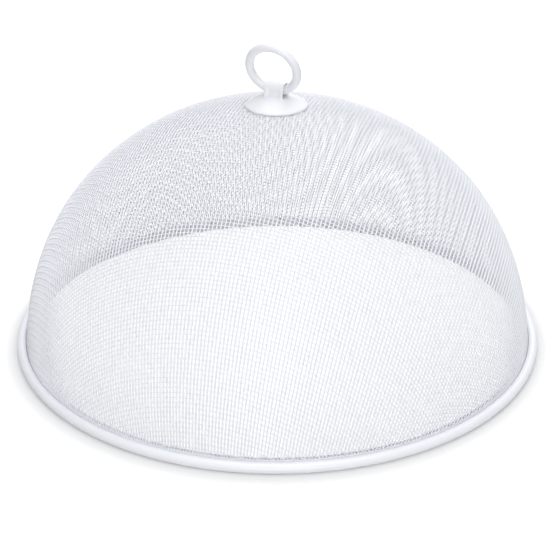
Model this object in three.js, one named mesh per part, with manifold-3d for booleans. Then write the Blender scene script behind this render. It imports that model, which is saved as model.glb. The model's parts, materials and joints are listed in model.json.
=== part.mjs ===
// Food cover: a dome of painted wire mesh on a rolled steel rim, lifted by a ring handle on top.
// Lengths are in millimetres, +Z is up, and the origin is on the table under the middle of the dome.
// The handle's strap lies along X, and the ring swings about an axis along X.
import * as THREE from "three";
import { mergeVertices } from "three/addons/utils/BufferGeometryUtils.js";
import Module from "manifold-3d";

// Clearance between two pieces that touch, and how far a cutting tool runs past what it cuts
const seatGap = 0.3;
const cutOverrun = 2;

// Rim: sheet steel rolled into a bead, with a flat foot and a lip inside the mesh
const rimDiameter = 350;
const beadDiameter = 6.4;
const rimSheet = 0.6;
const footDepth = 0.15; // how much of the bead's round is flattened into the foot
const lipHeight = 5.6;
const hemTopShare = 0.25; // of the bead's diameter, above the bead's centre

// Dome: a round superellipse whose centre lies a little below the table
const domeHeight = 158; // to the top of the bare mesh
const domeCentreDrop = 10;
const domeFullness = 2.07; // 2 is an ellipse, and more is squarer

// Mesh: flat wire cloth drawn into the dome, shown here by about one wire in eleven
const clothThickness = 1.3;
const strandPitch = 25; // in the flat cloth
const strandWidth = 2.4;
const hemCoat = 0.25; // how far the painted hem stands out from the cloth
const hemFold = 1.1; // thickness of the edge that is folded inwards

// Rosette: a pressed cap under the handle, which falls from a flat middle to a thin edge
const rosetteDiameter = 40;
const rosetteHeight = 6.9;
const rosetteSheet = 1;
const rosetteEdgeRound = 1.3;
const rosetteEdgeRise = 0.4; // height of the edge below its round
const rosetteFlatShare = 0.15; // of the rosette's radius

// Ring handle and the strap that folds over it
const ringDiameter = 31.6; // of the wire's centre line
const ringWire = 5.5;
const ringLean = 19; // degrees from upright, towards -Y
const ringPlay = 0.4; // between the ring's wire and the strap
const strapWidth = 12.8;
const strapSheet = 1;
const strapTab = 5.5; // length of each tab that is bent out below the washer
const strapBend = 0.5; // inside radius of that bend
const panelMargin = 2.5; // from the strap's edge to the panel pressed into each leg
const panelFoot = 0.7; // from the rosette up to the panel
const panelDepth = 0.35;
const washerDiameter = 30;
const washerSheet = 1;

// Facets, and passes of the search for the slope of the rosette's crown
const rimFacets = 64;
const curlFacets = 6;
const capFacets = 36;
const roundFacets = 3;
const crownFacets = 5;
const slopePasses = 30;
const ringFacets = 36;
const wireFacets = 10;
const hoopFacets = 6;
const eyeFacets = 10;
const bendFacets = 3;

// Rim and bead
const rimRadius = rimDiameter / 2;
const beadRadius = beadDiameter / 2;
const beadCentreR = rimRadius - beadRadius;
const beadCentreZ = beadRadius - footDepth;

// Cloth where it enters the rim
const clothRadius = rimRadius - beadDiameter - clothThickness / 2;
const hemOuter = clothRadius + clothThickness / 2 + hemCoat;
const hemInner = clothRadius - clothThickness / 2 - hemFold;
const hemBottom = rimSheet + seatGap;
const hemTop = beadCentreZ + beadDiameter * hemTopShare;

// The middle surface of the cloth, as a superellipse about (0, -domeCentreDrop)
const domeRise = domeHeight - clothThickness / 2 + domeCentreDrop;
const gripShare = (beadCentreZ + domeCentreDrop) / domeRise;
const domeReach = clothRadius / (1 - gripShare ** domeFullness) ** (1 / domeFullness);

const wasm = await Module();
wasm.setup();

// A closed geometry as a solid, with its shared vertices merged and its empty triangles left out
function solidOf(geometry) {
  const bare = geometry.clone();
  bare.deleteAttribute("normal");
  bare.deleteAttribute("uv");
  const merged = mergeVertices(bare);
  const corners = merged.index.array;
  const kept = [];
  for (let i = 0; i < corners.length; i += 3) {
    const [a, b, c] = corners.slice(i, i + 3);
    if (a !== b && b !== c && c !== a) kept.push(a, b, c);
  }
  return new wasm.Manifold(
    new wasm.Mesh({
      numProp: 3,
      vertProperties: merged.attributes.position.array,
      triVerts: new Uint32Array(kept),
    }),
  );
}

function geometryOf(solid) {
  const { vertProperties, triVerts } = solid.getMesh();
  const geometry = new THREE.BufferGeometry();
  geometry.setAttribute("position", new THREE.BufferAttribute(vertProperties, 3));
  geometry.setIndex(new THREE.BufferAttribute(triVerts, 1));
  return geometry;
}

// A closed outline of [radius, height] points turned about Z
function turned(outline, facets) {
  const points = outline.map(([r, z]) => new THREE.Vector2(r, z));
  if (THREE.ShapeUtils.area(points) < 0) points.reverse();
  points.push(points[0].clone());
  return new THREE.LatheGeometry(points, facets).rotateX(Math.PI / 2);
}

// Points of an arc in an outline, both ends included, with angles in radians
function arc(centreR, centreZ, radius, from, to, facets) {
  const points = [];
  for (let i = 0; i <= facets; i += 1) {
    const angle = from + ((to - from) * i) / facets;
    points.push([centreR + radius * Math.cos(angle), centreZ + radius * Math.sin(angle)]);
  }
  return points;
}

function boxBetween(low, high) {
  const size = new THREE.Vector3().subVectors(high, low);
  const middle = new THREE.Vector3().addVectors(low, high).multiplyScalar(0.5);
  return new THREE.BoxGeometry(size.x, size.y, size.z).translate(middle.x, middle.y, middle.z);
}

// Distance from the dome's centre to the cloth, at an angle from the top
function domeRadius(polar) {
  const side = Math.abs(Math.sin(polar)) / domeReach;
  const up = Math.abs(Math.cos(polar)) / domeRise;
  return (side ** domeFullness + up ** domeFullness) ** (-1 / domeFullness);
}

// Where a point of the flat cloth lands when the cloth is drawn into the dome. Drawing keeps each
// patch's area, so the cells grow longer down the side and narrower round it.
function drawn(flatX, flatY, offset) {
  const flat = Math.hypot(flatX, flatY);
  const polar = 2 * Math.asin(flat / (2 * domeReach));
  const turn = Math.atan2(flatY, flatX);
  const radius = domeRadius(polar) + offset;
  return new THREE.Vector3(
    radius * Math.sin(polar) * Math.cos(turn),
    radius * Math.sin(polar) * Math.sin(turn),
    radius * Math.cos(polar) - domeCentreDrop,
  );
}

// Height of the cloth at a distance from the axis, on its outer side for a positive offset
function clothHeight(radius, offset) {
  const side = (radius / domeReach) ** domeFullness;
  return domeRise * (1 - side) ** (1 / domeFullness) - domeCentreDrop + offset;
}

// One cell of the net: a frame of strands round its opening, as triangles on both faces and in
// the opening, and a wall along each side that has no neighbour.
function addCell(triangles, column, row, hasCell) {
  const strandShare = strandWidth / (2 * strandPitch);
  const corners = [[0, 0], [1, 0], [1, 1], [0, 1]];
  const neighbours = [[0, -1], [1, 0], [0, 1], [-1, 0]];
  const place = (u, v, offset) => drawn((column + u) * strandPitch, (row + v) * strandPitch, offset);
  const inset = (share) => (share ? 1 - strandShare : strandShare);
  const faces = [clothThickness / 2, -clothThickness / 2].map((offset) => ({
    rim: corners.map(([u, v]) => place(u, v, offset)),
    hole: corners.map(([u, v]) => place(inset(u), inset(v), offset)),
  }));
  const [outer, inner] = faces;
  corners.forEach((_, side) => {
    const next = (side + 1) % corners.length;
    triangles.push([outer.rim[side], outer.rim[next], outer.hole[next]]);
    triangles.push([outer.rim[side], outer.hole[next], outer.hole[side]]);
    triangles.push([inner.rim[side], inner.hole[next], inner.rim[next]]);
    triangles.push([inner.rim[side], inner.hole[side], inner.hole[next]]);
    triangles.push([outer.hole[side], outer.hole[next], inner.hole[next]]);
    triangles.push([outer.hole[side], inner.hole[next], inner.hole[side]]);
    const [across, along] = neighbours[side];
    if (hasCell(column + across, row + along)) return;
    triangles.push([outer.rim[next], outer.rim[side], inner.rim[side]]);
    triangles.push([outer.rim[next], inner.rim[side], inner.rim[next]]);
  });
}

// The net of strands down to the hem, with one cell over the middle for the strap's legs
function netGeometry() {
  const centred = (index) => index - 0.5;
  const hasCell = (column, row) => {
    const nearX = Math.max(Math.abs(column + 0.5) - 0.5, 0) * strandPitch;
    const nearY = Math.max(Math.abs(row + 0.5) - 0.5, 0) * strandPitch;
    return drawn(nearX, nearY, 0).z > hemBottom;
  };
  const triangles = [];
  const reach = Math.ceil((domeReach * Math.SQRT2) / strandPitch) + 1;
  for (let i = -reach; i <= reach; i += 1) {
    for (let j = -reach; j <= reach; j += 1) {
      const column = centred(i);
      const row = centred(j);
      if (hasCell(column, row)) addCell(triangles, column, row, hasCell);
    }
  }
  const positions = triangles.flat().flatMap((point) => point.toArray());
  const geometry = new THREE.BufferGeometry();
  return geometry.setAttribute("position", new THREE.Float32BufferAttribute(positions, 3));
}

// Handle heights, from the cloth up and down
const rosetteRadius = rosetteDiameter / 2;
const rosetteSeat = clothHeight(rosetteRadius - rosetteSheet, clothThickness / 2) + seatGap;
const rosetteTop = rosetteSeat + rosetteHeight;
const middleStrand = drawn(strandPitch / 2, strandPitch / 2, 0).z;
const washerTop = middleStrand - clothThickness / 2 - seatGap;
const washerBottom = washerTop - washerSheet;

// The ring's wire rises by wireSag from the middle of the strap to its edges. The swing axis passes
// through it half-way up, and the eye of the strap clears it whichever way the ring lies.
const ringRadius = ringDiameter / 2;
const wireRadius = ringWire / 2;
const strapHalf = strapWidth / 2;
const wireSag = ringRadius - Math.sqrt(ringRadius ** 2 - strapHalf ** 2);
const ringHole = (ringRadius - wireRadius) * Math.cos(Math.PI / ringFacets);
const wireReach = ringRadius - wireSag / 2 - Math.sqrt(ringHole ** 2 - strapHalf ** 2);
const eyeRadius = wireReach + ringPlay;
const swingHeight = rosetteTop + wireRadius + wireSag / 2 + seatGap;
const legOuter = eyeRadius + strapSheet;

function meshDome() {
  const hem = turned(
    [
      [hemInner, hemBottom],
      [hemOuter, hemBottom],
      [hemOuter, hemTop],
      [hemInner, hemTop],
    ],
    rimFacets,
  );
  const above = boxBetween(
    new THREE.Vector3(-rimRadius, -rimRadius, (hemBottom + hemTop) / 2),
    new THREE.Vector3(rimRadius, rimRadius, domeHeight + cutOverrun),
  );
  return geometryOf(solidOf(netGeometry()).intersect(solidOf(above)).add(solidOf(hem)));
}

function rimChannel() {
  const lipOuter = hemInner - seatGap;
  const lipInner = lipOuter - rimSheet;
  const curlEnd = Math.PI - Math.acos((beadCentreR - hemOuter - seatGap) / beadRadius);
  const bottomAngle = -Math.asin(beadCentreZ / beadRadius);
  const floorAngle = -Math.asin((beadCentreZ - rimSheet) / (beadRadius - rimSheet));
  return turned(
    [
      ...arc(beadCentreR, beadCentreZ, beadRadius, curlEnd, 0, curlFacets),
      ...arc(beadCentreR, beadCentreZ, beadRadius, 0, bottomAngle, roundFacets).slice(1),
      ...arc(lipInner + rimSheet, rimSheet, rimSheet, -Math.PI / 2, -Math.PI, bendFacets),
      ...arc(lipInner + rimSheet / 2, lipHeight - rimSheet / 2, rimSheet / 2, Math.PI, 0, bendFacets),
      [lipOuter, rimSheet],
      ...arc(beadCentreR, beadCentreZ, beadRadius - rimSheet, floorAngle, curlEnd, curlFacets),
    ],
    rimFacets,
  );
}

function rimWire() {
  const radius = beadCentreZ - rimSheet - seatGap;
  const round = arc(beadCentreR, beadCentreZ, radius, -Math.PI / 2, 1.5 * Math.PI, hoopFacets);
  return turned(round.slice(1), rimFacets);
}

// The two slots that the strap's legs pass through
function legSlots(bottom, top) {
  return [-1, 1].map((side) => {
    const near = side * (eyeRadius - seatGap);
    const far = side * (legOuter + seatGap);
    return boxBetween(
      new THREE.Vector3(-strapHalf - seatGap, Math.min(near, far), bottom - cutOverrun),
      new THREE.Vector3(strapHalf + seatGap, Math.max(near, far), top + cutOverrun),
    );
  });
}

function withSlots(geometry, bottom, top) {
  return geometryOf(
    legSlots(bottom, top).reduce((solid, slot) => solid.subtract(solidOf(slot)), solidOf(geometry)),
  );
}

// The crown is a parabola round a flat middle, and runs into the round of the edge at its own slope,
// which each pass brings closer
function rosette() {
  const flat = rosetteRadius * rosetteFlatShare;
  const roundCentre = rosetteRadius - rosetteEdgeRound;
  const roundHeight = rosetteSeat + rosetteEdgeRise;
  const innerRound = rosetteEdgeRound - rosetteSheet;
  let slope = 0;
  let fall = 0;
  let span = 0;
  for (let pass = 0; pass < slopePasses; pass += 1) {
    fall = rosetteTop - roundHeight - rosetteEdgeRound * Math.cos(slope);
    span = roundCentre + rosetteEdgeRound * Math.sin(slope) - flat;
    slope = Math.atan((2 * fall) / span);
  }
  const crown = (drop) => {
    const points = [];
    for (let i = 0; i < crownFacets; i += 1) {
      const share = i / crownFacets;
      points.push([flat + span * share, rosetteTop - fall * share ** 2 - drop]);
    }
    return points;
  };
  const shell = turned(
    [
      [0, rosetteTop],
      ...crown(0),
      ...arc(roundCentre, roundHeight, rosetteEdgeRound, Math.PI / 2 - slope, 0, roundFacets),
      [rosetteRadius, rosetteSeat],
      [rosetteRadius - rosetteSheet, rosetteSeat],
      ...arc(roundCentre, roundHeight, innerRound, 0, Math.PI / 2 - slope, roundFacets),
      ...crown(rosetteSheet).reverse(),
      [0, rosetteTop - rosetteSheet],
    ],
    capFacets,
  );
  return withSlots(shell, rosetteSeat, rosetteTop);
}

function innerWasher() {
  const radius = washerDiameter / 2;
  const disc = turned(
    [
      [0, washerBottom],
      [radius, washerBottom],
      [radius, washerTop],
      [0, washerTop],
    ],
    capFacets,
  );
  return withSlots(disc, washerBottom, washerTop);
}

// The shallow panel that is pressed into the outer face of each leg
function legPanels() {
  const half = strapHalf - panelMargin;
  return [-1, 1].map((side) => {
    const near = side * (legOuter - panelDepth);
    const far = side * (legOuter + cutOverrun);
    return boxBetween(
      new THREE.Vector3(-half, Math.min(near, far), rosetteTop + panelFoot),
      new THREE.Vector3(half, Math.max(near, far), swingHeight + legOuter),
    );
  });
}

// The strap's side view goes from a tab under the washer up one leg, over the eye and down the other
function ringStrap() {
  const tabTop = washerBottom - seatGap;
  const bendCentreY = legOuter + strapBend;
  const bendCentreZ = tabTop + strapBend;
  const outerBend = strapBend + strapSheet;
  const half = [
    ...arc(0, swingHeight, legOuter, Math.PI / 2, 0, eyeFacets),
    ...arc(bendCentreY, bendCentreZ, strapBend, Math.PI, 1.5 * Math.PI, bendFacets),
    [legOuter + strapTab, tabTop],
    [legOuter + strapTab, tabTop - strapSheet],
    ...arc(bendCentreY, bendCentreZ, outerBend, 1.5 * Math.PI, Math.PI, bendFacets),
    ...arc(0, swingHeight, eyeRadius, 0, Math.PI / 2, eyeFacets),
  ];
  const otherHalf = half.slice(1, -1).map(([y, z]) => [-y, z]).reverse();
  const outline = [...half, ...otherHalf].map(([y, z]) => new THREE.Vector2(y, z));
  const strap = new THREE.ExtrudeGeometry(new THREE.Shape(outline), {
    depth: strapWidth,
    bevelEnabled: false,
  });
  const yzToX = new THREE.Matrix4().makeBasis(
    new THREE.Vector3(0, 1, 0),
    new THREE.Vector3(0, 0, 1),
    new THREE.Vector3(1, 0, 0),
  );
  const placed = solidOf(strap.applyMatrix4(yzToX).translate(-strapHalf, 0, 0));
  return geometryOf(legPanels().reduce((solid, panel) => solid.subtract(solidOf(panel)), placed));
}

// The ring stands on the swing axis, which passes through its wire a little above the lowest point
function handleRing() {
  const torus = new THREE.TorusGeometry(ringRadius, wireRadius, wireFacets, ringFacets);
  return torus.rotateX(Math.PI / 2).translate(0, 0, ringRadius - wireSag / 2);
}

function piece(name, geometry, material) {
  const mesh = new THREE.Mesh(geometry, material);
  mesh.name = name;
  return mesh;
}

const whitePaint = new THREE.MeshStandardMaterial({ color: 0xf2f3f8, roughness: 0.38, metalness: 0 });
const whiteWire = new THREE.MeshStandardMaterial({ color: 0xeeeff6, roughness: 0.45, metalness: 0 });
const plainSteel = new THREE.MeshStandardMaterial({ color: 0xb8babd, roughness: 0.4, metalness: 1 });

const foodCover = new THREE.Group();
foodCover.add(piece("mesh_dome", meshDome(), whiteWire));
foodCover.add(piece("rim_channel", rimChannel(), whitePaint));
foodCover.add(piece("rim_wire", rimWire(), plainSteel));
foodCover.add(piece("rosette", rosette(), whitePaint));
foodCover.add(piece("inner_washer", innerWasher(), whitePaint));
foodCover.add(piece("ring_strap", ringStrap(), whitePaint));

const swing = new THREE.Group();
swing.position.z = swingHeight;
swing.rotation.x = THREE.MathUtils.degToRad(ringLean);
swing.add(piece("handle_ring", handleRing(), whitePaint));
foodCover.add(swing);

export default foodCover;
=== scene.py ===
"""A food cover of painted wire mesh, seen in soft studio light on a pale floor.

Lengths are in millimetres, and MM turns them into metres where Blender takes them. The frame is the
part's own: +Z up, the dome's axis at X = Y = 0, and the table at Z = 0.
"""

import json
import math

import bpy
import numpy as np
from mathutils import Matrix, Vector


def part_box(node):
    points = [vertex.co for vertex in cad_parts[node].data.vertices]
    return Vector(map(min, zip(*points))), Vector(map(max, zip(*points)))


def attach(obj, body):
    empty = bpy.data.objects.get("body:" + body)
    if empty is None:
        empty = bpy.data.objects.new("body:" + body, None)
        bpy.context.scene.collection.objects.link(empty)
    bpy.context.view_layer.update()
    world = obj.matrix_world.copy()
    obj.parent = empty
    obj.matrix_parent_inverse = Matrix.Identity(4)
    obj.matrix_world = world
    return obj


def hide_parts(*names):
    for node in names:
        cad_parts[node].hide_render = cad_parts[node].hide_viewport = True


MM = 0.001

# Rim: a rolled bead with a flat foot and a lip inside the mesh
RIM_SHEET = 0.6
BEAD_DIAMETER = 6.4
FOOT_DEPTH = 0.15  # how much of the bead's round is flattened into the foot
LIP_HEIGHT = 5.6
SEAT_GAP = 0.3

# Dome: a round superellipse whose centre lies below the table
DOME_HEIGHT = 158.0
DOME_CENTRE_DROP = 10.0
DOME_FULLNESS = 2.07  # 2 is an ellipse, and more is squarer

# Cloth: two families of painted wires in plain weave, drawn from a flat sheet
CLOTH_TURN = 8.4  # degrees from the strap to the cloth's long wires
LONG_PITCH = 2.3  # from one long wire to the next, in the flat cloth
CROSS_PITCH = 2.5
LONG_WIRE = 0.62  # thickness with its paint
CROSS_WIRE = 0.95
CRIMP = 0.09  # how far a wire swings to each side: the paint fills the crossings
DRAG = 0.0024  # bow of the cross wires behind the crown, per millimetre
CLOTH_THICKNESS = 1.3
CLOTH_END_HEIGHT = 1.6  # where the wires end inside the rim
HEM_TOP = 5.6
HEM_BOTTOM = 0.9
HEM_COAT = 0.25  # how far the painted hem stands out from the cloth
HEM_FOLD = 1.1  # thickness of the edge that is folded inwards

# Rosette and washer
ROSETTE_DIAMETER = 40.0
ROSETTE_SHEET = 1.0
ROSETTE_EDGE_ROUND = 1.3
ROSETTE_EDGE_RISE = 0.4  # height of the edge below its round
ROSETTE_FLAT_SHARE = 0.15  # of the rosette's radius
ROSETTE_LIP_ROUND = 0.35
ROSETTE_LIP_DROP = 0.25  # how far the edge reaches down between the wires
WASHER_ROUND = 0.3
AXIS_HOLE = 0.01  # radius at which a turned disc ends, short of its axis

# Ring and strap
RING_DIAMETER = 31.6  # of the wire's centre line
RING_WIRE = 5.5
RING_LEAN = 19.0  # degrees from upright, towards -Y
STRAP_WIDTH = 12.8
STRAP_SHEET = 1.0
STRAP_TAB = 5.5  # length of each tab that is bent out below the washer
STRAP_BEND = 0.5  # inside radius of that bend
STRAP_EDGE_ROUND = 0.4
PANEL_MARGIN = 2.5  # from the strap's edge to the panel pressed into each leg
PANEL_FOOT = 0.7  # from the rosette up to the panel
PANEL_DEPTH = 0.35
PANEL_SLOPE = 0.6  # width over which the panel's edge falls
RIDGE_RISE = 0.12  # of the metal that the panel pushes up beside it

# Fineness of the meshes: segments round the axis, facets of an arc and points of a line
WIRE_SIDES = 6
STEPS_PER_PITCH = 2
WIRE_GROUPS = 4  # pieces that each family of wires is shared out to
LEAST_POINTS = 3  # a wire with fewer is left out
END_SEARCH_POINTS = 400
HEM_SEGMENTS = 256
RIM_SEGMENTS = 320
BEAD_FACETS = 28
BEAD_INNER_FACETS = 20
RIM_FOLD_FACETS = 6
RIM_LIP_FACETS = 8
ROSETTE_SEGMENTS = 128
CROWN_POINTS = 24
CROWN_EDGE_FACETS = 12
CROWN_INNER_FACETS = 6
ROSETTE_LIP_FACETS = 4
SLOPE_PASSES = 30  # rounds of the search for the slope where the crown meets its edge
WASHER_SEGMENTS = 96
WASHER_FACETS = 4
RING_SEGMENTS = 144
RING_FACETS = 28
BEND_FACETS = 8
LEG_POINTS = 60
EYE_FACETS = 24
STRAP_EDGE_FACETS = 5
STRAP_FACE_POINTS = 61
SAME_HEIGHT = 0.001  # heights that differ by less count as equal

# Paint and steel
HANDLE_WHITE = (0.925, 0.93, 0.96)
# The rim's white is the handle's paint made darker: painted shade on the rim.
SHADED_RIM_WHITE = (0.875, 0.88, 0.915)
# The wires' white is the handle's paint made darker: painted shade on the wires and the hem.
SHADED_WIRE_WHITE = (0.868, 0.875, 0.917)
SHEET_COAT = (0.36, 0.9, 0.03)  # roughness, and the size and height of the orange peel
WIRE_COAT = (0.42, 0.7, 0.02)
PAINT_SPECULAR = 0.5
PEEL_STRENGTH = 0.35
PEEL_DETAIL = 2
CLOUD_SIZE = 25.0  # of the slow changes in tone and gloss
CLOUD_DETAIL = 3
CLOUD_TONE_SHARE = 0.97  # of the paint's colour, where it is darkest
GLOSS_SPREAD = 0.05
STEEL_DARK = (0.42, 0.43, 0.44)
STEEL_LIGHT = (0.55, 0.56, 0.57)
STEEL_ROUGHNESS = 0.4
STEEL_GRAIN = 3.0
STEEL_DETAIL = 2

# Camera, from a fit to the rim and the dome's outline in the photograph
CAMERA_HEIGHT = 406.0
CAMERA_REACH = 740.0
CAMERA_AZIMUTH = 23.5
CAMERA_PITCH = 26.1
CAMERA_YAW = 0.1
CAMERA_ROLL = -0.23
FOCAL_PIXELS = 1229.0
PHOTO_WIDTH = 550.0
SENSOR_WIDTH = 36.0
NEAREST_SEEN = 10.0
FARTHEST_SEEN = 20000.0

# Studio: each lamp has its degrees round from the camera and up, its size, watts and colour
PLAIN_WHITE = (1.0, 1.0, 1.0)
COOL_WHITE = (0.97, 0.98, 1.0)
TOP_LIGHT = (0, 82, 3600, 176, COOL_WHITE)
LOW_LIGHT = (5, 8, 2400, 104, PLAIN_WHITE)
BACK_LIGHT = (165, 45, 3600, 75, COOL_WHITE)
LAMP_DISTANCE = 4500.0
ROOM_LIGHT = 0.02

# Floor: it has a white of its own, which only the camera and reflections see
FLOOR_REACH = 20000.0
FLOOR_BOUNCE = 0.8  # how much of the light on it the floor sends back to the cover
FLOOR_SHADE = 0.42  # how much of that light the camera sees
FLOOR_WHITE = 0.80  # the floor's own white near the cover
FLOOR_NEAR = 400.0  # distance from the axis at which that white starts to rise
FLOOR_FAR = 1500.0  # and the distance at which it is full
CONTACT_REACH = 25.0  # how far from the rim the floor's own white is shaded
CONTACT_DEPTH = 6.0  # power that deepens this shade
CONTACT_LEAST_SHARE = 0.4  # of the white, right under the rim

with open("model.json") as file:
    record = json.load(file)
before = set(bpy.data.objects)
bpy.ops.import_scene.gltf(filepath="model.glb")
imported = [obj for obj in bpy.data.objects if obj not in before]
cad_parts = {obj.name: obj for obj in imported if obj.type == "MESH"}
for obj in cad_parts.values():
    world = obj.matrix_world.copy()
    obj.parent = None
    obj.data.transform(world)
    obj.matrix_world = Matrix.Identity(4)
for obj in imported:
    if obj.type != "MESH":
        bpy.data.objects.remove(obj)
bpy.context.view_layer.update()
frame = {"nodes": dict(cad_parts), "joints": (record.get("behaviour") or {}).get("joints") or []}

rim_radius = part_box("rim_channel")[1].x / MM
bead_radius = BEAD_DIAMETER / 2
bead_centre_r = rim_radius - bead_radius
bead_centre_z = bead_radius - FOOT_DEPTH
cloth_radius = rim_radius - BEAD_DIAMETER - CLOTH_THICKNESS / 2
hem_outer = cloth_radius + CLOTH_THICKNESS / 2 + HEM_COAT
hem_inner = cloth_radius - CLOTH_THICKNESS / 2 - HEM_FOLD
dome_rise = DOME_HEIGHT - CLOTH_THICKNESS / 2 + DOME_CENTRE_DROP
grip_share = (bead_centre_z + DOME_CENTRE_DROP) / dome_rise
dome_reach = cloth_radius / (1 - grip_share**DOME_FULLNESS) ** (1 / DOME_FULLNESS)
rosette_low, rosette_high = (corner.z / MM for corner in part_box("rosette"))
washer_low, washer_high = (corner.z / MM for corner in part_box("inner_washer"))
strap_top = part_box("ring_strap")[1].z / MM
swing_height = frame["joints"][0]["pos_m"][2] / MM
leg_outer = strap_top - swing_height


def mesh_piece(name, points, faces, material, body="cover"):
    """A smooth mesh object from points in millimetres and an array of quads, riding on a body."""
    points = np.asarray(points, np.float32) * MM
    faces = np.asarray(faces, np.int32)
    sides = faces.shape[1]
    mesh = bpy.data.meshes.new(name)
    mesh.vertices.add(len(points))
    mesh.vertices.foreach_set("co", points.ravel())
    mesh.loops.add(faces.size)
    mesh.loops.foreach_set("vertex_index", faces.ravel())
    mesh.polygons.add(len(faces))
    mesh.polygons.foreach_set("loop_start", np.arange(0, faces.size, sides, dtype=np.int32))
    mesh.update(calc_edges=True)
    mesh.validate()
    mesh.polygons.foreach_set("use_smooth", np.full(len(mesh.polygons), True))
    mesh.materials.append(material)
    piece = bpy.data.objects.new(name, mesh)
    bpy.context.scene.collection.objects.link(piece)
    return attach(piece, body)


def grid_faces(rows, columns, close_rows=False):
    """Quads over a grid of points stored row by row, where each row is a closed loop."""
    row = np.arange(rows if close_rows else rows - 1)[:, None]
    column = np.arange(columns)[None, :]
    next_row = (row + 1) % rows
    next_column = (column + 1) % columns
    quads = [
        row * columns + column,
        row * columns + next_column,
        next_row * columns + next_column,
        next_row * columns + column,
    ]
    return np.stack([corner.ravel() for corner in np.broadcast_arrays(*quads)], axis=1)


def arc(centre_r, centre_z, radius, start, end, facets):
    """Points of an arc in an outline, both ends included, with angles in degrees."""
    angles = np.radians(np.linspace(start, end, facets + 1))
    return np.stack([centre_r + radius * np.cos(angles), centre_z + radius * np.sin(angles)], axis=1)


def turned(outline, segments):
    """Points and quads of a closed outline of radius and height turned about Z."""
    outline = np.concatenate([np.atleast_2d(part) for part in outline])
    turn = np.linspace(0, 2 * np.pi, segments, endpoint=False)[:, None]
    points = np.stack(
        [
            outline[:, 0] * np.cos(turn),
            outline[:, 0] * np.sin(turn),
            np.broadcast_to(outline[:, 1], (segments, len(outline))),
        ],
        axis=-1,
    )
    return points.reshape(-1, 3), grid_faces(segments, len(outline), close_rows=True)


def unit(vectors):
    """The same directions with a length of one."""
    return vectors / np.linalg.norm(vectors, axis=-1, keepdims=True)


def eased(share):
    """A share held between 0 and 1, with soft ends."""
    share = np.clip(share, 0, 1)
    return share**2 * (3 - 2 * share)


def facing(turn, rise):
    """The direction that lies turn round from -Y and rise above the table, in radians."""
    return Vector((math.sin(turn) * math.cos(rise), -math.cos(turn) * math.cos(rise), math.sin(rise)))


def dome_radius(polar):
    """Distance from the dome's centre to the cloth's middle surface, at an angle from the top."""
    side = np.abs(np.sin(polar)) / dome_reach
    up = np.abs(np.cos(polar)) / dome_rise
    return (side**DOME_FULLNESS + up**DOME_FULLNESS) ** (-1 / DOME_FULLNESS)


def drawn(flat_x, flat_y, offset):
    """Where points of the flat cloth land in the dome, and the outward direction there.

    Drawing keeps each patch's area, so cells grow longer down the side and narrower round it.
    """
    polar = 2 * np.arcsin(np.hypot(flat_x, flat_y) / (2 * dome_reach))
    turn = np.arctan2(flat_y, flat_x)
    outward = np.stack(
        [np.sin(polar) * np.cos(turn), np.sin(polar) * np.sin(turn), np.cos(polar)], axis=-1
    )
    points = outward * (dome_radius(polar) + offset)[:, None]
    points[:, 2] -= DOME_CENTRE_DROP
    return points, outward


def cloth_end():
    """Radius in the flat cloth at which it reaches its end inside the rim."""
    polar = np.linspace(math.pi / 4, math.pi / 2, END_SEARCH_POINTS)
    height = dome_radius(polar) * np.cos(polar) - DOME_CENTRE_DROP
    flat = 2 * dome_reach * np.sin(polar / 2)
    return float(np.interp(-CLOTH_END_HEIGHT, -height, flat))


def tube(points, outward, radius, sides):
    """Rings of points round a line, with their first point on the line's outward side."""
    along = unit(np.gradient(points, axis=0))
    across = unit(np.cross(along, outward))
    up = np.cross(across, along)
    turn = np.linspace(0, 2 * np.pi, sides, endpoint=False)[None, :, None]
    rings = points[:, None] + radius * (np.cos(turn) * up[:, None] + np.sin(turn) * across[:, None])
    return rings.reshape(-1, 3), grid_faces(len(points), sides)


def joined(tubes):
    """Points and quads of several tubes as one mesh."""
    starts = np.cumsum([0] + [len(points) for points, _ in tubes[:-1]])
    points = np.concatenate([points for points, _ in tubes])
    faces = np.concatenate([faces + start for (_, faces), start in zip(tubes, starts)])
    return points, faces


def drag(behind):
    """How far the cross wires were pulled sideways in drawing, at a distance behind the crown."""
    return DRAG * np.maximum(behind, 0) ** 2 / 2


def wire(index, diameter, own_pitch, crossed_pitch, turn, end, dragged):
    """One wire of the cloth, or None where too little of it lies inside the cloth's end.

    It passes over and under the wires that cross it. Wires of a family lie own_pitch apart, the
    middle two half a pitch from the crown, and turn is the family's direction in the flat cloth.
    """
    beside = (index + 0.5) * own_pitch
    step = crossed_pitch / STEPS_PER_PITCH
    count = int(end / step) + 1
    shift = 0 if dragged else drag(beside)
    run = np.arange(-count, count + 1) * step - shift % step
    across = beside + drag(run) if dragged else np.full(len(run), beside)
    inside = np.hypot(run, across) < end
    if np.count_nonzero(inside) < LEAST_POINTS:
        return None
    run = run[inside]
    across = across[inside]
    side = 1 if index % 2 == 0 else -1
    crimp = side * CRIMP * np.cos(np.pi * ((run + shift) / crossed_pitch - 0.5))
    flat_x = run * math.cos(turn) - across * math.sin(turn)
    flat_y = run * math.sin(turn) + across * math.cos(turn)
    points, outward = drawn(flat_x, flat_y, crimp)
    return tube(points, outward, diameter / 2, WIRE_SIDES)


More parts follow.
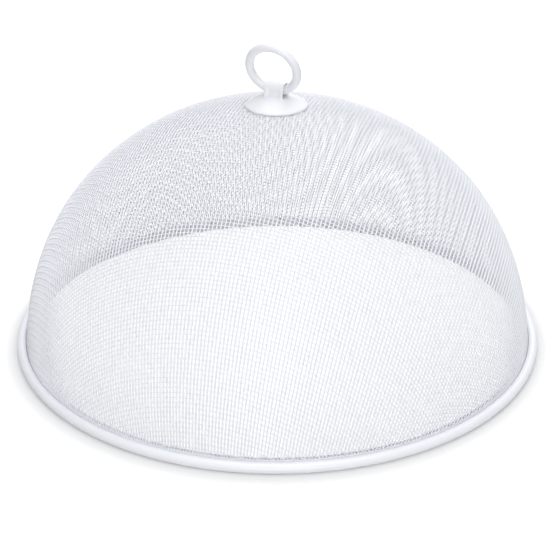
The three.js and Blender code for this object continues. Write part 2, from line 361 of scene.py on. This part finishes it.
def wire_cloth(material):
    """The dome's cloth: each family of wires in a few pieces of about the same size.

    Cross wires are counted against the way the long wires run. So at each crossing one family
    swings out where the other swings in, as a plain weave does.
    """
    end = cloth_end()
    turn = math.radians(CLOTH_TURN)
    families = (
        ("long_wires", LONG_WIRE, LONG_PITCH, CROSS_PITCH, turn, False),
        ("cross_wires", CROSS_WIRE, CROSS_PITCH, LONG_PITCH, turn + math.pi / 2, True),
    )
    pieces = []
    for name, diameter, own_pitch, crossed_pitch, heading, dragged in families:
        most = int((end + drag(end)) / own_pitch)
        tubes = [
            wire(index, diameter, own_pitch, crossed_pitch, heading, end, dragged)
            for index in range(-most - 1, most + 1)
        ]
        tubes = [member for member in tubes if member is not None]
        sizes = np.cumsum([len(points) for points, _ in tubes])
        groups = sizes * WIRE_GROUPS // (sizes[-1] + 1)
        for number in range(WIRE_GROUPS):
            members = [member for member, group in zip(tubes, groups) if group == number]
            pieces.append(mesh_piece(f"{name}_{number + 1}", *joined(members), material))
    return pieces


def hem(material):
    """The edge of the cloth, folded inwards inside the rim, as high as the rim's lip."""
    outline = [
        [hem_inner, HEM_BOTTOM],
        [hem_outer, HEM_BOTTOM],
        [hem_outer, HEM_TOP],
        [hem_inner, HEM_TOP],
    ]
    return mesh_piece("cloth_hem", *turned(outline, HEM_SEGMENTS), material)


def rim(material):
    """The rolled bead, its flat foot and the lip inside the mesh."""
    lip_outer = hem_inner - SEAT_GAP
    lip_inner = lip_outer - RIM_SHEET
    lip_round = RIM_SHEET / 2
    curl_end = 180 - math.degrees(math.acos((bead_centre_r - hem_outer - SEAT_GAP) / bead_radius))
    foot_angle = -math.degrees(math.asin(bead_centre_z / bead_radius))
    inner_radius = bead_radius - RIM_SHEET
    floor_angle = -math.degrees(math.asin((bead_centre_z - RIM_SHEET) / inner_radius))
    outline = [
        arc(bead_centre_r, bead_centre_z, bead_radius, curl_end, foot_angle, BEAD_FACETS),
        arc(lip_inner + RIM_SHEET, RIM_SHEET, RIM_SHEET, -90, -180, RIM_FOLD_FACETS),
        arc(lip_inner + lip_round, LIP_HEIGHT - lip_round, lip_round, 180, 0, RIM_LIP_FACETS),
        [lip_outer, RIM_SHEET],
        arc(bead_centre_r, bead_centre_z, inner_radius, floor_angle, curl_end, BEAD_INNER_FACETS),
    ]
    return mesh_piece("rolled_rim", *turned(outline, RIM_SEGMENTS), material)


def rosette(material):
    """The pressed cap: a parabola round a flat middle, which runs into the round of a thin edge."""
    radius = ROSETTE_DIAMETER / 2
    flat = radius * ROSETTE_FLAT_SHARE
    centre_r = radius - ROSETTE_EDGE_ROUND
    centre_z = rosette_low + ROSETTE_EDGE_RISE
    slope = 0.0
    for _ in range(SLOPE_PASSES):
        fall = rosette_high - centre_z - ROSETTE_EDGE_ROUND * math.cos(slope)
        span = centre_r + ROSETTE_EDGE_ROUND * math.sin(slope) - flat
        slope = math.atan(2 * fall / span)
    share = np.linspace(0, 1, CROWN_POINTS, endpoint=False)
    crown = np.stack([flat + span * share, rosette_high - fall * share**2], axis=1)
    crown_end = 90 - math.degrees(slope)
    edge_round = ROSETTE_EDGE_ROUND
    lip = ROSETTE_LIP_ROUND
    outline = [
        [AXIS_HOLE, rosette_high],
        crown,
        arc(centre_r, centre_z, edge_round, crown_end, 0, CROWN_EDGE_FACETS),
        arc(radius - lip, rosette_low - ROSETTE_LIP_DROP + lip, lip, 0, -90, ROSETTE_LIP_FACETS),
        [radius - ROSETTE_SHEET, rosette_low - ROSETTE_LIP_DROP],
        arc(centre_r, centre_z, edge_round - ROSETTE_SHEET, 0, crown_end, CROWN_INNER_FACETS),
        (crown - [0, ROSETTE_SHEET])[::-1],
        [AXIS_HOLE, rosette_high - ROSETTE_SHEET],
    ]
    return mesh_piece("pressed_rosette", *turned(outline, ROSETTE_SEGMENTS), material)


def washer(material):
    """The disc under the top of the cloth."""
    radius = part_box("inner_washer")[1].x / MM
    round_r = radius - WASHER_ROUND
    outline = [
        [AXIS_HOLE, washer_high],
        arc(round_r, washer_high - WASHER_ROUND, WASHER_ROUND, 90, 0, WASHER_FACETS),
        arc(round_r, washer_low + WASHER_ROUND, WASHER_ROUND, 0, -90, WASHER_FACETS),
        [AXIS_HOLE, washer_low],
    ]
    return mesh_piece("clamp_washer", *turned(outline, WASHER_SEGMENTS), material)


def strap_path():
    """Centre line of the folded strap in Y and Z, from one tab's end over the eye to the other's."""
    line_radius = leg_outer - STRAP_SHEET / 2
    tab_top = washer_low - SEAT_GAP
    bend_y = leg_outer + STRAP_BEND
    bend_z = tab_top + STRAP_BEND
    bend = arc(bend_y, bend_z, STRAP_BEND + STRAP_SHEET / 2, 270, 180, BEND_FACETS)
    leg_z = np.linspace(bend_z, swing_height, LEG_POINTS)[1:-1]
    leg = np.stack([np.full_like(leg_z, line_radius), leg_z], axis=1)
    over = arc(0, swing_height, line_radius, 0, 90, EYE_FACETS)
    tab = np.array([[leg_outer + STRAP_TAB, bend[0, 1]]])
    half = np.concatenate([tab, bend, leg, over])
    return np.concatenate([half, (half[:-1] * [-1, 1])[::-1]])


def strap_section():
    """The strip's outline across its width, with round edges, as points of width and height."""
    side = STRAP_WIDTH / 2 - STRAP_EDGE_ROUND
    thick = STRAP_SHEET / 2
    edge = arc(side, thick - STRAP_EDGE_ROUND, STRAP_EDGE_ROUND, 0, 90, STRAP_EDGE_FACETS)
    across = np.linspace(side, -side, STRAP_FACE_POINTS)[1:-1]
    face = np.stack([across, np.full_like(across, thick)], axis=1)
    top = np.concatenate([edge, face, (edge * [-1, 1])[::-1]])
    return np.concatenate([top, (top * [1, -1])[::-1]])


def strap(material):
    """The folded strip, with a shallow panel pressed into each leg and a low ridge beside it."""
    path = strap_path()
    along = unit(np.gradient(path, axis=0))
    outward = np.stack([along[:, 1], -along[:, 0]], axis=1)
    thick = STRAP_SHEET / 2
    section = strap_section()
    from_middle = np.abs(section[:, 0])
    is_face = np.abs(section[:, 1] - thick) < SAME_HEIGHT
    panel_half = STRAP_WIDTH / 2 - PANEL_MARGIN
    in_panel = np.where(is_face, eased((panel_half - from_middle) / PANEL_SLOPE + 0.5), 0)
    ridge_share = np.clip((from_middle - panel_half) / PANEL_MARGIN, 0, 1)
    ridge = np.where(is_face, RIDGE_RISE * np.sin(np.pi * ridge_share), 0)
    outer_y = np.abs(path[:, 0] + outward[:, 0] * thick)
    on_leg = eased((path[:, 1] - rosette_high - PANEL_FOOT) / PANEL_SLOPE + 0.5)
    depth = np.clip(PANEL_DEPTH - (leg_outer - outer_y), 0, PANEL_DEPTH) * on_leg
    ridge_on = np.clip(1 - (leg_outer - outer_y) / PANEL_DEPTH, 0, 1) * on_leg
    height = section[:, 1] - depth[:, None] * in_panel + ridge_on[:, None] * ridge
    points = np.stack(
        [
            np.broadcast_to(section[:, 0], height.shape),
            path[:, :1] + outward[:, :1] * height,
            path[:, 1:] + outward[:, 1:] * height,
        ],
        axis=-1,
    )
    faces = grid_faces(len(path), len(section))
    return mesh_piece("folded_strap", points.reshape(-1, 3), faces, material)


def ring(material):
    """The handle ring, leaning as it was left."""
    half_strap = STRAP_WIDTH / 2
    radius = RING_DIAMETER / 2
    sag = radius - math.sqrt(radius**2 - half_strap**2)
    wire_round = arc(radius, 0, RING_WIRE / 2, 0, 360, RING_FACETS)[:-1]
    points, faces = turned([wire_round], RING_SEGMENTS)
    stand = Matrix.Rotation(math.radians(90 + RING_LEAN), 3, "X")
    up = Matrix.Rotation(math.radians(RING_LEAN), 3, "X") @ Vector((0, 0, radius - sag / 2))
    placed = points @ np.array(stand).T + np.array(up) + [0, 0, swing_height]
    return mesh_piece("swing_ring", placed, faces, material, body="ring")


def new_material(name):
    """A material with nodes, and its nodes and links."""
    material = bpy.data.materials.new(name)
    material.use_nodes = True
    return material, material.node_tree.nodes, material.node_tree.links


def noise(nodes, links, size, detail):
    """A soft noise that stays on the object, with patches of about the given size."""
    place = nodes.new("ShaderNodeTexCoord")
    texture = nodes.new("ShaderNodeTexNoise")
    texture.inputs["Scale"].default_value = 1 / (size * MM)
    texture.inputs["Detail"].default_value = detail
    links.new(place.outputs["Object"], texture.inputs["Vector"])
    return texture.outputs["Fac"]


def blend(nodes, links, share, first, second):
    """A colour that goes from first to second as share goes from 0 to 1."""
    mix = nodes.new("ShaderNodeMix")
    mix.data_type = "RGBA"
    mix.inputs["A"].default_value = (*first, 1)
    mix.inputs["B"].default_value = (*second, 1)
    links.new(share, mix.inputs["Factor"])
    return mix.outputs["Result"]


def between(nodes, links, share, low, high, start=0, end=1):
    """A number that goes from low to high as share goes from start to end."""
    span = nodes.new("ShaderNodeMapRange")
    span.inputs["From Min"].default_value = start
    span.inputs["From Max"].default_value = end
    span.inputs["To Min"].default_value = low
    span.inputs["To Max"].default_value = high
    links.new(share, span.inputs["Value"])
    return span.outputs["Result"]


def combine(nodes, links, operation, first, second):
    """What a maths node makes of a socket and of another socket or a plain number."""
    maths = nodes.new("ShaderNodeMath")
    maths.operation = operation
    links.new(first, maths.inputs[0])
    if isinstance(second, bpy.types.NodeSocket):
        links.new(second, maths.inputs[1])
    else:
        maths.inputs[1].default_value = second
    return maths.outputs["Value"]


def powder_coat(name, colour, roughness, peel_size, peel_height):
    """White powder coat: a soft orange peel, a little change of tone and of gloss."""
    material, nodes, links = new_material(name)
    shader = nodes["Principled BSDF"]
    shader.inputs["Specular IOR Level"].default_value = PAINT_SPECULAR
    bump = nodes.new("ShaderNodeBump")
    bump.inputs["Strength"].default_value = PEEL_STRENGTH
    bump.inputs["Distance"].default_value = peel_height * MM
    links.new(noise(nodes, links, peel_size, PEEL_DETAIL), bump.inputs["Height"])
    links.new(bump.outputs["Normal"], shader.inputs["Normal"])
    cloud = noise(nodes, links, CLOUD_SIZE, CLOUD_DETAIL)
    darkest = [CLOUD_TONE_SHARE * channel for channel in colour]
    links.new(blend(nodes, links, cloud, darkest, colour), shader.inputs["Base Color"])
    gloss = between(nodes, links, cloud, roughness - GLOSS_SPREAD, roughness + GLOSS_SPREAD)
    links.new(gloss, shader.inputs["Roughness"])
    return material


def drawn_wire_steel():
    """Plain steel wire with patches of a darker tone, hidden in the rim."""
    material, nodes, links = new_material("drawn_wire_steel")
    shader = nodes["Principled BSDF"]
    shader.inputs["Metallic"].default_value = 1
    shader.inputs["Roughness"].default_value = STEEL_ROUGHNESS
    patches = noise(nodes, links, STEEL_GRAIN, STEEL_DETAIL)
    links.new(blend(nodes, links, patches, STEEL_DARK, STEEL_LIGHT), shader.inputs["Base Color"])
    return material


def seen_rays(nodes, links):
    """One for rays that come from the camera, a gloss or clear material, and none for the rest."""
    path = nodes.new("ShaderNodeLightPath")
    total = path.outputs["Is Camera Ray"]
    for other in ("Is Glossy Ray", "Is Transmission Ray"):
        total = combine(nodes, links, "MAXIMUM", total, path.outputs[other])
    return total


def contact_shade(nodes, links, away):
    """The share of the floor's own white that is left close outside the rim, and 1 inside it."""
    contact = nodes.new("ShaderNodeAmbientOcclusion")
    contact.inputs["Distance"].default_value = CONTACT_REACH * MM
    deep = combine(nodes, links, "POWER", contact.outputs["AO"], CONTACT_DEPTH)
    left = between(nodes, links, deep, CONTACT_LEAST_SHARE, 1)
    shaded = nodes.new("ShaderNodeMix")
    shaded.inputs["A"].default_value = 1
    links.new(combine(nodes, links, "GREATER_THAN", away, bead_centre_r * MM), shaded.inputs["Factor"])
    links.new(left, shaded.inputs["B"])
    return shaded.outputs["Result"]


def white_floor():
    """The floor's material: matt, lit by the lamps and by a white of its own."""
    material, nodes, links = new_material("white_floor")
    shader = nodes["Principled BSDF"]
    seen = seen_rays(nodes, links)
    links.new(between(nodes, links, seen, FLOOR_BOUNCE, FLOOR_SHADE), shader.inputs["Base Color"])
    place = nodes.new("ShaderNodeTexCoord")
    distance = nodes.new("ShaderNodeVectorMath")
    distance.operation = "LENGTH"
    links.new(place.outputs["Object"], distance.inputs[0])
    away = distance.outputs["Value"]
    white = between(nodes, links, away, FLOOR_WHITE, 1, FLOOR_NEAR * MM, FLOOR_FAR * MM)
    glow = combine(nodes, links, "MULTIPLY", seen, white)
    glow = combine(nodes, links, "MULTIPLY", glow, contact_shade(nodes, links, away))
    links.new(glow, shader.inputs["Emission Strength"])
    shader.inputs["Emission Color"].default_value = (*PLAIN_WHITE, 1)
    shader.inputs["Roughness"].default_value = 1
    shader.inputs["Specular IOR Level"].default_value = 0
    return material


def floor():
    """A plain white table that keeps the cover's shadow, wide enough to fill the picture."""
    mesh = bpy.data.meshes.new("floor")
    reach = FLOOR_REACH * MM
    corners = [(-reach, -reach, 0), (reach, -reach, 0), (reach, reach, 0), (-reach, reach, 0)]
    mesh.from_pydata(corners, [], [(0, 1, 2, 3)])
    mesh.materials.append(white_floor())
    plane = bpy.data.objects.new("floor", mesh)
    bpy.context.scene.collection.objects.link(plane)


def softbox(name, azimuth, elevation, size, power, colour):
    """A square area light that faces the dome, placed by its direction as seen from the camera."""
    back = facing(math.radians(CAMERA_AZIMUTH + azimuth), math.radians(elevation))
    light = bpy.data.lights.new(name, "AREA")
    light.shape = "SQUARE"
    light.size = size * MM
    light.energy = power
    light.color = colour
    lamp = bpy.data.objects.new(name, light)
    lamp.location = back * LAMP_DISTANCE * MM + Vector((0, 0, DOME_HEIGHT / 2 * MM))
    lamp.rotation_mode = "QUATERNION"
    lamp.rotation_quaternion = back.to_track_quat("Z", "Y")
    lamp.visible_camera = False
    bpy.context.scene.collection.objects.link(lamp)


def lights():
    """Soft boxes above, behind and low in front of the cover, in a white room."""
    softbox("top_light", *TOP_LIGHT)
    softbox("low_light", *LOW_LIGHT)
    softbox("back_light", *BACK_LIGHT)
    world = bpy.data.worlds.new("studio")
    world.use_nodes = True
    nodes, links = world.node_tree.nodes, world.node_tree.links
    background = nodes["Background"]
    background.inputs["Color"].default_value = (*PLAIN_WHITE, 1)
    strength = between(nodes, links, seen_rays(nodes, links), ROOM_LIGHT, 1)
    links.new(strength, background.inputs["Strength"])
    bpy.context.scene.world = world


def camera():
    """The photograph's viewpoint, with the picture's middle on the lens axis."""
    data = bpy.data.cameras.new("photo_camera")
    data.sensor_width = SENSOR_WIDTH
    data.lens = SENSOR_WIDTH * FOCAL_PIXELS / PHOTO_WIDTH
    data.clip_start = NEAREST_SEEN * MM
    data.clip_end = FARTHEST_SEEN * MM
    stand = math.radians(CAMERA_AZIMUTH)
    turn = math.radians(CAMERA_AZIMUTH + CAMERA_YAW)
    roll = math.radians(CAMERA_ROLL)
    back = facing(turn, math.radians(CAMERA_PITCH))
    level = Vector((math.cos(turn), math.sin(turn), 0))
    above = back.cross(level)
    right = level * math.cos(roll) + above * math.sin(roll)
    up = above * math.cos(roll) - level * math.sin(roll)
    place = Matrix((right, up, back)).transposed().to_4x4()
    place.translation = MM * Vector(
        (CAMERA_REACH * math.sin(stand), -CAMERA_REACH * math.cos(stand), CAMERA_HEIGHT)
    )
    eye = bpy.data.objects.new("photo_camera", data)
    eye.matrix_world = place
    bpy.context.scene.collection.objects.link(eye)
    bpy.context.scene.camera = eye


camera()
white_paint = powder_coat("white_paint", HANDLE_WHITE, *SHEET_COAT)
# The rim gets its own darker copy of the white paint: painted shade.
shaded_rim_paint = powder_coat("shaded_rim_paint", SHADED_RIM_WHITE, *SHEET_COAT)
# The wires and the hem get a darker copy of the white paint: painted shade.
shaded_wire = powder_coat("shaded_wire_paint", SHADED_WIRE_WHITE, *WIRE_COAT)
for piece in [*wire_cloth(shaded_wire), hem(shaded_wire)]:
    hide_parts("mesh_dome")
for piece, node in (
    (rim(shaded_rim_paint), "rim_channel"),
    (rosette(white_paint), "rosette"),
    (washer(white_paint), "inner_washer"),
    (strap(white_paint), "ring_strap"),
    (ring(white_paint), "handle_ring"),
):
    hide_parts(node)
frame["nodes"]["rim_wire"].material_slots[0].material = drawn_wire_steel()
floor()
lights()
bpy.context.scene.view_settings.view_transform = "Standard"
